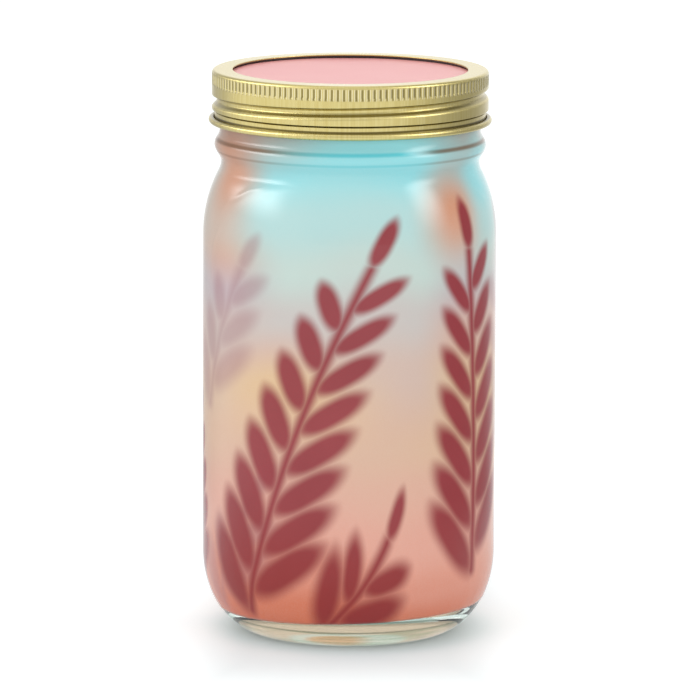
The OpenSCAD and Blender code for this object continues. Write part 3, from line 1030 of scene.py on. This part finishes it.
@dataclass(frozen=True)
class PrintedSleeve:
    """Printed film that hugs the glass from over the heel to under the band, in millimetres and degrees."""

    jar: GlassJar
    gap: float = 0.03
    thick: float = 0.15
    foot: float = 9.0
    slant: float = 2.2
    high: float = -22.0
    top: float = 164.75
    gather: float = 0.05
    sag: float = 0.05
    columns: int = 432
    rows: int = 190
    creases: tuple[Crease, ...] = (
        Crease((-45, 141), (-32, 147), 1.2), Crease((-52, 136), (-40, 144), 1.6, lift=0.12),
        Crease((-57, 118), (-49, 134), 1.0), Crease((-60, 108), (-55, 122), -0.8, lift=0.1),
        Crease((40, 142), (52, 135), 1.2), Crease((47, 146), (60, 139), 1.0, lift=0.1),
        Crease((96, 139), (112, 146), 1.4), Crease((-120, 147), (-104, 138), 1.4),
        Crease((136, 128), (142, 143), 1.0))

    def build(self) -> None:
        """Makes the sleeve."""
        path = np.vstack([np.array(self.jar.outside()), [self.jar.finish_r, self.top + 2]])
        along = np.r_[0, np.cumsum(np.hypot(*np.diff(path, axis=0).T))]
        dense = np.linspace(0, along[-1], 3000)
        r, z = np.interp(dense, along, path[:, 0]), np.interp(dense, along, path[:, 1])
        slope = np.hypot(np.gradient(r), np.gradient(z))
        out_r, out_z = np.gradient(z) / slope, -np.gradient(r) / slope
        angle = angles(self.columns)
        tilt = math.tan(math.radians(self.slant)) * np.cos(angle - math.radians(self.high))
        start = np.array([dense[np.argmax(z > self.foot + r * t)] for t in tilt])[:, None]
        end = dense[np.argmax(z > self.top)]
        place = start + (end - start) * np.linspace(0, 1, self.rows)
        r, z, out_r, out_z = (np.interp(place, dense, line) for line in (r, z, out_r, out_z))
        u = (np.arctan2(np.cos(angle), np.sin(-angle)) * self.jar.body_r)[:, None] + 0 * z
        lift = sum(crease.relief(u, z) for crease in self.creases)
        # Shrunk film gathers a little round the heel, and stands off a little between heel and shoulder
        folds = np.clip(ripples(turned(r, 0.15 * z, angle), 5, 3), 0, 2)
        lift += self.gather * folds * np.exp(-(place - start) / 5)
        lift += self.sag * (1 + lumps(turned(r, 0.4 * z, angle), 26, 9)) * eased(z, 14, 30) * eased(z, 163, 150)
        outer, inner = (turned(r + far * out_r, z + far * out_z, angle)
                        for far in (self.gap + self.thick + lift, self.gap + lift))
        points, faces = woven(np.concatenate([outer, inner[:, ::-1]], axis=1), round_columns=True)
        rows = np.tile(np.arange(2 * self.rows), self.columns)
        piece = make_piece("printed_sleeve_film", points, faces, (rows >= self.rows) & (rows < 2 * self.rows - 1))
        piece.data.materials.append(PrintedFilm().build())
        piece.data.materials.append(Finish.WHITE_INK.build())
        hang(piece, "printed_sleeve", "jar")


# Closure -------------------------------------------------------------------------------------------------------


@dataclass(frozen=True)
class ScrewBand:
    """Rolled tinplate band: flange, rounded edge, knurl, rolled thread and an outward hem, in millimetres."""

    open_r: float = 37.4
    crest_r: float = 44.0
    edge_r: float = 1.1
    teeth: int = 144
    tooth_cut: float = 0.38
    tooth_top: float = 0.85
    tooth_foot: float = 4.75
    thread_cut: float = 1.5
    thread_ridge: Ridge = Ridge(-0.6, 0.42, 0.09, (-1.7, -0.6, 0.1, 2.2))
    dip: float = 0.85
    dip_at: Point = (12.5, 13.3)
    skirt_end: float = 14.95
    hem_mid_r: float = 44.0
    hem_depth: float = 16.0
    hem_r: float = 1.05
    hem_turn: float = 300.0

    def build(self) -> None:
        """Makes the band. Its profile runs by radius and by depth under the band's top."""
        sheet = CLOSURE.band
        # Columns stand close together on the flanks of each tooth
        steps = np.array([0, 0.12, 0.27, 0.5, 0.73, 0.88])
        angle = (np.arange(self.teeth)[:, None] + steps).ravel() * 2 * math.pi / self.teeth
        cut = np.tile(self.tooth_cut * np.array([1, 0.55, 0.04, 0, 0.04, 0.55]), self.teeth)
        lip = [(self.open_r, sheet), (self.open_r, 0.16), (self.open_r + 0.05, 0.05)]
        flange = [(r, 0.0) for r in np.linspace(self.open_r + 0.2, self.crest_r - self.edge_r - 0.3, 9)]
        edge = [(r, -z) for r, z in arc(self.crest_r - self.edge_r, -self.edge_r, self.edge_r, 90, 0, 9)][:-1]
        start = np.array(lip + flange + edge)
        skirt = np.arange(self.edge_r, self.skirt_end, 0.28)
        turn = 180 + self.hem_turn
        hem = arc(self.hem_mid_r, -self.hem_depth, self.hem_r - sheet, 180, turn, 22)
        hem += arc(self.hem_mid_r, -self.hem_depth, self.hem_r, turn, 180, 30)
        hem = np.array(hem) * (1, -1)
        back = skirt[::-2]
        end = np.array([(self.crest_r - self.tooth_cut - sheet - 0.4, sheet), (self.open_r + 3, sheet)])
        depth = np.concatenate([start[:, 1], skirt, hem[:, 1], back, end[:, 1]])
        radius = np.concatenate([start[:, 0], 0 * skirt, hem[:, 0], 0 * back, end[:, 0]])
        depth, radius = (np.tile(line, (len(angle), 1)) for line in (depth, radius))
        a, b, c, d = np.cumsum([len(part) for part in (start, skirt, hem, back)])
        radius[:, a:b] = self.wall(angle, depth[:, a:b])
        radius[:, c:d] = self.wall(angle, depth[:, c:d]) - sheet
        # The sheet is pressed in behind the teeth over the whole knurl
        bar = eased(depth, self.tooth_top, self.tooth_top + 0.6)
        bar *= eased(depth, self.tooth_foot, self.tooth_foot - 0.9)
        radius[:, :b] -= cut[:, None] * bar[:, :b]
        radius[:, c:d] -= self.tooth_cut * bar[:, c:d]
        points, faces = woven(turned(radius, CLOSURE.top - depth, angle), round_columns=True)
        hang(make_piece("rolled_band", points, faces), "screw_band", "band", GoldLacquer().build())

    def wall(self, angle: np.ndarray, depth: np.ndarray) -> np.ndarray:
        """Outer radius of the plain skirt with its rolled thread, by column and row."""
        plain = self.crest_r - self.dip * eased(depth, *self.dip_at)
        return plain - self.thread_cut * self.thread_ridge.height(angle, depth)


@dataclass(frozen=True)
class LidCard:
    """Round card in the disc's sunk panel, in millimetres."""

    radius: float = 38.2
    low: float = 179.2
    thick: float = 0.2
    edge: float = 0.05

    def build(self) -> None:
        """Makes the card."""
        high, in_r = self.low + self.thick, self.radius - self.edge
        rim = [(0, self.low), (in_r, self.low), (self.radius, self.low + self.edge)]
        rim += [(self.radius, high - self.edge), (in_r, high)]
        face = [(r, high) for r in np.linspace(self.radius - 0.4, 0, 24)]
        grid = turned(*np.array(rim + face).T, angles(180))
        # The card isn't quite flat
        grid[..., 2] += 0.04 * ripples(grid, 30, 2) * eased(np.hypot(grid[..., 0], grid[..., 1]), 2, 20)
        hang(make_piece("lid_card_round", *woven(grid)), "lid_card", "card", CoatedCard().build())


@dataclass(frozen=True)
class SheetMetal:
    """CAD pieces whose shape is right and that get their finish here."""

    dressed: tuple[tuple[Finish, tuple[str, ...]], ...] = (
        (Finish.SHADE_BLACK_LACQUER, ("lid_disc",)), (Finish.PLASTISOL, ("lid_seal",)),
        (Finish.STAINLESS, ("pot_rim", "pot_wall", "pot_floor")))

    def build(self) -> None:
        """Dresses the pieces."""
        for finish, nodes in self.dressed:
            material = finish.build()
            for node in nodes:
                dress(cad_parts[node], material)
                log.info("%s: %s", node, material.name)


# Inside --------------------------------------------------------------------------------------------------------


@dataclass(frozen=True)
class Wick:
    """Felt strip that hangs from the medium, through the pot's slot, into the water, in millimetres."""

    width: float = 20.0
    thick: float = 2.4
    low: float = 9.4
    high: float = 135.1
    slot_z: float = 110.0
    bow: float = 0.7
    pile: float = 0.1
    columns: int = 88
    rows: int = 220

    def build(self) -> None:
        """Makes the strip."""
        around = angles(self.columns)
        # A rounded oblong, from a stretched superellipse
        x = np.sign(np.cos(around)) * np.abs(np.cos(around)) ** 0.22
        y = np.sign(np.sin(around)) * np.abs(np.sin(around)) ** 0.5
        height = np.linspace(self.low, self.high, self.rows)
        trimmed = 1 - 0.1 * eased(height, self.low + self.thick, self.low)
        grid = np.empty((self.columns, self.rows, 3))
        grid[..., 0] = self.width / 2 * x[:, None] * trimmed
        free = np.clip((height - self.low) / (self.slot_z - self.low), 0, 1)
        grid[..., 1] = self.thick / 2 * y[:, None] + self.bow * np.sin(math.pi * free) ** 2
        grid[..., 2] = height
        grid[..., 1] -= self.pile * (1 + lumps(grid, 2.2, 11)) * np.sign(y)[:, None]
        points, faces = woven(grid)
        caps = []
        for end in (0, self.rows - 1):
            ring = [i * self.rows + end for i in range(self.columns)]
            caps += [[ring[i], ring[i + 1], ring[-2 - i], ring[-1 - i]] for i in range(self.columns // 2 - 1)]
        piece = make_piece("wick_felt_strip", points, np.vstack([faces, caps]))
        hang(piece, "wick", "net_pot", Finish.FELT.build())


@dataclass(frozen=True)
class GrowMedium:
    """Pressed coir plug with a hole for the seeds and a slot for the wick, in millimetres."""

    foot: float = 113.1
    foot_r: float = 29.6
    lip: float = 116.6
    side_r: float = 33.1
    top: float = 147.1
    round_r: float = 2.0
    hole_r: float = 6.0
    hole: float = 3.5
    slot: Spot = (10.3, 1.5, 22.3)
    grain: float = 0.16
    columns: int = 260
    fibres: int = 260
    fibre_steps: int = 7

    def build(self) -> None:
        """Makes the plug and its loose fibres."""
        low, in_r = self.top - self.round_r, self.side_r - self.round_r
        wider, taller = self.side_r - self.foot_r, low - self.lip
        path = [(r, self.foot) for r in np.linspace(0, self.foot_r - 0.6, 24)] + [(self.foot_r, self.foot + 0.6)]
        path += [(self.foot_r + wider * t, self.lip + taller * t) for t in np.linspace(0, 1, 46)]
        path += arc(in_r, low, self.round_r, 0, 90, 6)[1:]
        path += [(r, self.top) for r in np.linspace(in_r - 0.6, self.hole_r + 1, 38)]
        path += flank((self.hole_r + 0.6, self.top), (self.hole_r * 0.6, self.top - self.hole), 8)
        path += [(r, self.top - self.hole) for r in (2.4, 1.2, 0)]
        path = np.array(path)
        angle = angles(self.columns)
        grid = turned(*path.T, angle)
        slope = np.gradient(path, axis=0)
        slope /= np.maximum(np.hypot(slope[:, 0], slope[:, 1]), 1e-6)[:, None]
        coarse = np.clip(ripples(grid, 7, 22), 0, 1)
        depth = self.grain * (1.1 + lumps(grid, 2.4, 21, 40)) + 0.5 * self.grain * coarse
        inward = turned(-slope[:, 1], slope[:, 0], angle)
        steady = eased(path[:, 0], 0.5, 3)[None, :]
        plug = make_piece("grow_medium_plug", *woven(grid + inward * (depth * steady)[..., None]))
        self.cut_slot(plug)
        hang(plug, "grow_medium", "net_pot", Finish.COIR.build())
        loose = self.make_fibres()
        dress(loose, Finish.COIR_FIBRE.build())
        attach(loose, "net_pot")
        log.info("%s: %d faces", loose.name, len(loose.data.polygons))

    def cut_slot(self, plug: Piece) -> None:
        """Cuts the wick's slot up into the plug."""
        x, y, deep = self.slot
        heights = (self.foot - 2, self.foot + deep)
        corners = np.array([(a, b, c) for a in (-x, x) for b in (-y, y) for c in heights])
        faces = np.array([[0, 1, 3, 2], [4, 6, 7, 5], [0, 4, 5, 1], [2, 3, 7, 6], [0, 2, 6, 4], [1, 5, 7, 3]])
        cutter = make_piece("slot_cutter", corners, faces)
        cut = plug.modifiers.new("slot", "BOOLEAN")
        cut.operation, cut.object, cut.solver = "DIFFERENCE", cutter, "EXACT"
        shape = plug.evaluated_get(bpy.context.evaluated_depsgraph_get())
        mesh = bpy.data.meshes.new_from_object(shape)
        plug.modifiers.clear()
        plug.data = mesh
        bpy.data.objects.remove(cutter)

    def make_fibres(self) -> Piece:
        """Loose fibres that lie on the plug's top."""
        random = np.random.default_rng(31)
        rods = []
        for _ in range(self.fibres):
            r, a = math.sqrt(random.uniform(0.06, 0.8)) * (self.side_r - 2), random.uniform(0, 2 * math.pi)
            way, bend = random.uniform(0, 2 * math.pi), random.uniform(-0.25, 0.25)
            length, thick = random.uniform(3, 9), random.uniform(0.07, 0.13)
            place = np.array([r * math.cos(a), r * math.sin(a)])
            line = []
            for _ in range(self.fibre_steps):
                line.append((*place, self.top + random.uniform(-0.05, 0.1)))
                place = place + length / self.fibre_steps * np.array([math.cos(way), math.sin(way)])
                way += bend
            line = np.array(line)
            if np.hypot(line[:, 0], line[:, 1]).max() < self.side_r - 2.5:
                rods.append(tube(line, thick))
        starts = np.cumsum([0] + [len(points) for points, _ in rods])
        faces = np.vstack([faces + start for (_, faces), start in zip(rods, starts)])
        return make_piece("coir_fibres", np.vstack([points for points, _ in rods]), faces)


@dataclass(frozen=True)
class Sachet:
    """Filled pillow sachet with crimped, pinked seals, in millimetres."""

    name: str
    node: str
    finish: Finish
    length: float
    width: float
    height: float
    low: float
    turned_round: bool
    seed: int
    fill: float
    seal: float = 4.0
    film: float = 0.16
    crimp: float = 0.07
    crimp_pitch: float = 1.3
    pinked: float = 0.45
    pink_pitch: float = 1.6

    def build(self) -> None:
        """Makes the sachet."""
        x, y = sheet_grid(151, 109)
        flat = np.stack([x * self.length / 2, y * self.width / 2, 0 * x], -1)
        in_x = np.clip(np.abs(flat[..., 0]) / (self.length / 2 - self.seal), 0, 1)
        in_y = np.clip(np.abs(flat[..., 1]) / (self.width / 2 - self.seal), 0, 1)
        swell = ((1 - in_x ** 2.4) * (1 - in_y ** 2.4)) ** 0.6
        room = self.height / 2 - self.film / 2 - 0.12
        # The filling shifts and the film puckers towards its seals
        pucker = np.sin(flat[..., 1] * 1.9 + self.seed) * eased(in_x, 0.55, 1)
        pucker = np.abs(pucker + np.sin(flat[..., 0] * 1.7) * eased(in_y, 0.55, 1)) * (np.minimum(in_x, in_y) < 1)
        lifts = []
        for side in (0, 1):
            coarse, fine = lumps(flat, 9, self.seed + side), ripples(flat, 3.2, self.seed + 7)
            full = np.clip(1 - 0.07 * (1 + coarse) - 0.03 * (1 + fine), 0, 1)
            lifts.append(room * swell * full * (1 - 0.1 * pucker))
        sealed = (np.maximum(in_x, in_y) >= 1).astype(float)
        across = np.where(in_x >= 1, flat[..., 0], flat[..., 1])
        crimp = self.crimp * sealed * np.sin(across * 2 * math.pi / self.crimp_pitch)
        # Pinked cut along the two short ends
        teeth = np.abs(((flat[..., 1] / self.pink_pitch) % 1) - 0.5)
        flat[..., 0] -= np.sign(x) * (self.pinked * teeth * eased(np.abs(x), 1 - 2 * self.seal / self.length, 1))
        middle = self.low + self.height / 2 + crimp
        if self.turned_round:
            flat = np.stack([-flat[..., 1], flat[..., 0], flat[..., 2]], -1)
        high, low = middle + self.film / 2 + lifts[0], middle - self.film / 2 - lifts[1]
        piece = make_piece(self.name, *shell(flat, high, low))
        hang(piece, self.node, "net_pot", self.finish.build())


@dataclass(frozen=True)
class SeedPacket:
    """Flat paper envelope with a folded flap, a little fuller where the seeds lie, in millimetres."""

    length: float = 52.0
    width: float = 38.0
    height: float = 1.2
    edge: float = 0.55
    low: float = 159.0
    flap: float = 11.0
    flap_t: float = 0.3
    flap_sunk: float = 0.06

    def build(self) -> None:
        """Makes the envelope."""
        x, y = sheet_grid(105, 77)
        flat = np.stack([x * self.length / 2, y * self.width / 2, 0 * x], -1)
        full = ((1 - x ** 6) * (1 - y ** 6)) ** 0.5
        seeds = np.exp(-(((x + 0.35) / 0.4) ** 2) - (y / 0.45) ** 2) * (1 + 0.25 * ripples(flat, 2.6, 41))
        rise = (self.height - self.edge) / 2 * full * (0.72 + 0.22 * np.clip(seeds, 0, 1))
        middle = self.low + self.height / 2
        # Glued seam down the middle of the underside
        seam = 0.04 * eased(np.abs(flat[..., 1]), 5.5, 5.0)
        points, faces = shell(flat, middle + self.edge / 2 + rise, middle - self.edge / 2 - rise - seam)
        # The flap narrows towards its end
        s, t = sheet_grid(16, 49, 0.0)
        narrow = 1 - 0.28 * eased(s, 0.72, 1.0) ** 2
        flap = np.stack([self.length / 2 - 0.1 - self.flap * s, self.width / 2 * t * narrow, 0 * s], -1)
        high = self.low + self.height
        more, sides = shell(flap, high + self.flap_t - self.flap_sunk, high - self.flap_sunk)
        faces = np.vstack([faces, sides + len(points)])
        piece = make_piece("seed_packet_envelope", np.vstack([points, more]), faces)
        hang(piece, "seed_packet", "net_pot", Finish.KRAFT.build())


@dataclass(frozen=True)
class Leaflet:
    """Sheet of paper folded to and fro, in millimetres."""

    length: float = 49.0
    width: float = 35.0
    paper: float = 0.2
    pitch: float = 0.5
    panels: int = 4
    low: float = 160.8
    rows: int = 40

    def build(self) -> None:
        """Makes the leaflet."""
        line: list[Point] = []
        bend = self.pitch / 2
        reach = self.length / 2 - bend - self.paper / 2
        for panel in range(self.panels):
            height = self.low + 0.125 + self.pitch * panel
            way = 1 if panel % 2 == 0 else -1
            line += [(way * x, height) for x in np.linspace(-reach, reach, 30)]
            if panel < self.panels - 1:
                line += [(way * x, z) for x, z in arc(reach, height + bend, bend, -90, 90, 8)[1:-1]]
        path = np.array(line)
        ahead = np.gradient(path, axis=0)
        ahead /= np.hypot(ahead[:, 0], ahead[:, 1])[:, None]
        aside = np.stack([-ahead[:, 1], ahead[:, 0]], -1) * self.paper / 2
        faces_of = []
        for edge in (path + aside, path - aside):
            grid = np.empty((len(path), self.rows, 3))
            grid[..., 0], grid[..., 2] = edge[:, :1], edge[:, 1:]
            grid[..., 1] = np.linspace(-self.width / 2, self.width / 2, self.rows)
            # Paper doesn't lie quite flat
            grid[..., 2] += 0.02 * lumps(grid * (1, 1, 0), 22, 51)
            faces_of.append(grid)
        piece = make_piece("instruction_leaflet_folded", *skin(*faces_of))
        hang(piece, "instruction_leaflet", "net_pot", Finish.CREAM_PAPER.build())


# Studio --------------------------------------------------------------------------------------------------------


@dataclass(frozen=True)
class Studio:
    """White floor, soft light from all sides, one soft lamp and the camera, in metres, watts and degrees."""

    camera_at: Spot = (0.00026, -2.0, 0.4326)
    pitch: float = 9.72
    roll: float = 0.256
    focal: float = 326.1
    lamp_at: Spot = (-0.6, -0.8, 1.3)
    lamp_aim: Spot = (0, 0, 0.1)
    lamp_size: float = 0.8
    lamp_power: float = 2.2
    world: float = 0.9
    floor: str = "E9F1F2"
    mirrored: float = 1.15
    right_flag: float = 0.68
    left_flag: float = 0.55
    front_shade: float = 0.3
    large_lamp: float = 6.0
    small_lamp: float = 5.0

    def build(self) -> None:
        """Makes the floor, the lamp, the world and the camera."""
        scene = bpy.context.scene
        scene.view_settings.view_transform = "Standard"
        self.make_world(scene)
        self.make_floor()
        self.make_lamp(scene)
        data = bpy.data.cameras.new("camera")
        data.lens, data.sensor_width = self.focal, 36.0
        data.clip_start, data.clip_end = 0.05, 50.0
        camera = bpy.data.objects.new("camera", data)
        tilt = Matrix.Rotation(math.radians(90 - self.pitch), 4, "X")
        roll = Matrix.Rotation(math.radians(self.roll), 4, "Z")
        camera.matrix_world = Matrix.Translation(self.camera_at) @ (tilt @ roll)
        scene.collection.objects.link(camera)
        scene.camera = camera

    def make_lamp(self, scene: bpy.types.Scene) -> None:
        """Hangs the square soft lamp that casts the shadow."""
        data = bpy.data.lights.new("softbox_key", "AREA")
        data.shape = "RECTANGLE"
        data.size = data.size_y = self.lamp_size
        data.energy = self.lamp_power
        lamp = bpy.data.objects.new("softbox_key", data)
        lamp.location = self.lamp_at
        lamp.rotation_euler = (Vector(self.lamp_aim) - Vector(self.lamp_at)).to_track_quat("-Z", "Y").to_euler()
        lamp.visible_camera = lamp.visible_glossy = lamp.visible_transmission = False
        scene.collection.objects.link(lamp)

    def make_world(self, scene: bpy.types.Scene) -> None:
        """Gives the scene white surroundings, with soft lamps and a darker front in its reflections."""
        world = bpy.data.worlds.new("studio")
        world.use_nodes = True
        sky = Nodes(world.node_tree)
        way = sky.add("SeparateXYZ", Vector=sky.add("TexCoord").outputs["Generated"]).outputs
        side, front, high = (Value(sky, part) for part in way)
        turn, rise = side.turn_from(-front) * DEGREES, high.do("ARCSINE") * DEGREES
        # Where the photographer stands it is darker
        level = self.flags(turn) - abs(turn).ease(50.0, 25.0) * rise.ease(75.0, 35.0) * self.front_shade
        # A large soft lamp stands on the left, crisp at its slanted top, and a small one on the right
        slanted = rise + (turn + 90.0) * -0.35
        large = turn.ease(-48.0, -80.0) * turn.ease(-140.0, -108.0)
        large = large * slanted.ease(30.0, 24.0) * rise.ease(8.0, 26.0)
        small = abs(turn - 70.0).ease(20.0, 2.0) * rise.ease(0.0, 30.0) * rise.ease(56.0, 40.0)
        camera, glossy, through = sky.rays()
        mirrored = glossy * (level + (large * self.large_lamp + small * self.small_lamp)) + through
        strength = (1.0 - glossy.most(through)) * self.world + mirrored
        shine = sky.add("Background", Color="FFFFFF", Strength=strength.most(camera))
        sky.add("OutputWorld", Surface=shine)
        scene.world = world

    def flags(self, turn: Value) -> Value:
        """Brightness that mirrors show at each turn from the front to the right, in degrees from -180 to 180.

        Dark flags stand on both sides.
        """
        right = turn.ease(25.0, 100.0) * turn.ease(165.0, 125.0)
        left = turn.ease(-104.0, -132.0) * turn.ease(-175.0, -150.0)
        return self.mirrored - (right * self.right_flag + left * self.left_flag)

    def make_floor(self) -> None:
        """Lays the floor, which a camera sees as white but for the shadow. Places on it are in millimetres."""
        corners = np.array([(-6000, -6000, 0), (6000, -6000, 0), (6000, 6000, 0), (-6000, 6000, 0)])
        floor = make_piece("studio_floor", corners, np.array([[0, 1, 2, 3]]))
        matt = Surface("matt_white_floor")
        x, y, _ = matt.place()
        far = (x * x + y * y).root()
        camera, glossy, through = matt.rays()
        # Glass shows the white floor under it too; painted light makes it brighter under the jar, less where the
        # foot stands on it than inside the foot
        glass = far.ease(40.0, 34.0, 0.2, 0.42) + far.ease(26.0, 23.0, 0.0, 0.4)
        # The shadow lies close to the foot and reaches further to the front than aside
        shadow = abs(x).ease(30.0, 54.0, 0.14, 0.36).most(abs(y).ease(50.0, 110.0, 0.14, 0.36))
        lift = camera * shadow + glossy.most(through) * glass
        lit = matt.add("Emission", Color="FFFFFF", Strength=lift)
        seen = matt.add("AddShader", i0=matt.add("BsdfDiffuse", Color=self.floor), i1=lit)
        # Metal mirrors the floor further off, with the flags' shade on it
        shaded = matt.add("Emission", Color="FFFFFF", Strength=self.flags(x.turn_from(-y) * DEGREES))
        paint = matt.add("MixShader", i0=glossy * far.ease(150.0, 300.0), i1=seen, i2=shaded)
        dress(floor, matt.finish(paint))


def main() -> None:
    """Builds the planter's pieces, dresses them and lights them."""
    logging.basicConfig(level=logging.INFO, format="%(name)s: %(message)s")
    jar = GlassJar()
    carbon = Sachet("carbon_sachet_pillow", "carbon_sachet", Finish.TEA_PAPER,
                    length=50.0, width=36.0, height=6.0, low=147.4, turned_round=False, seed=61, fill=0.7)
    food = Sachet("plant_food_sachet_pillow", "plant_food_sachet", Finish.SACHET_FILM,
                  length=48.0, width=37.0, height=5.0, low=153.7, turned_round=True, seed=71, fill=0.6)
    for group in (Studio(), jar, PrintedSleeve(jar), ScrewBand(), LidCard(), SheetMetal(), Wick(), GrowMedium(),
                  carbon, food, SeedPacket(), Leaflet()):
        group.build()


if __name__ == "__main__":
    main()
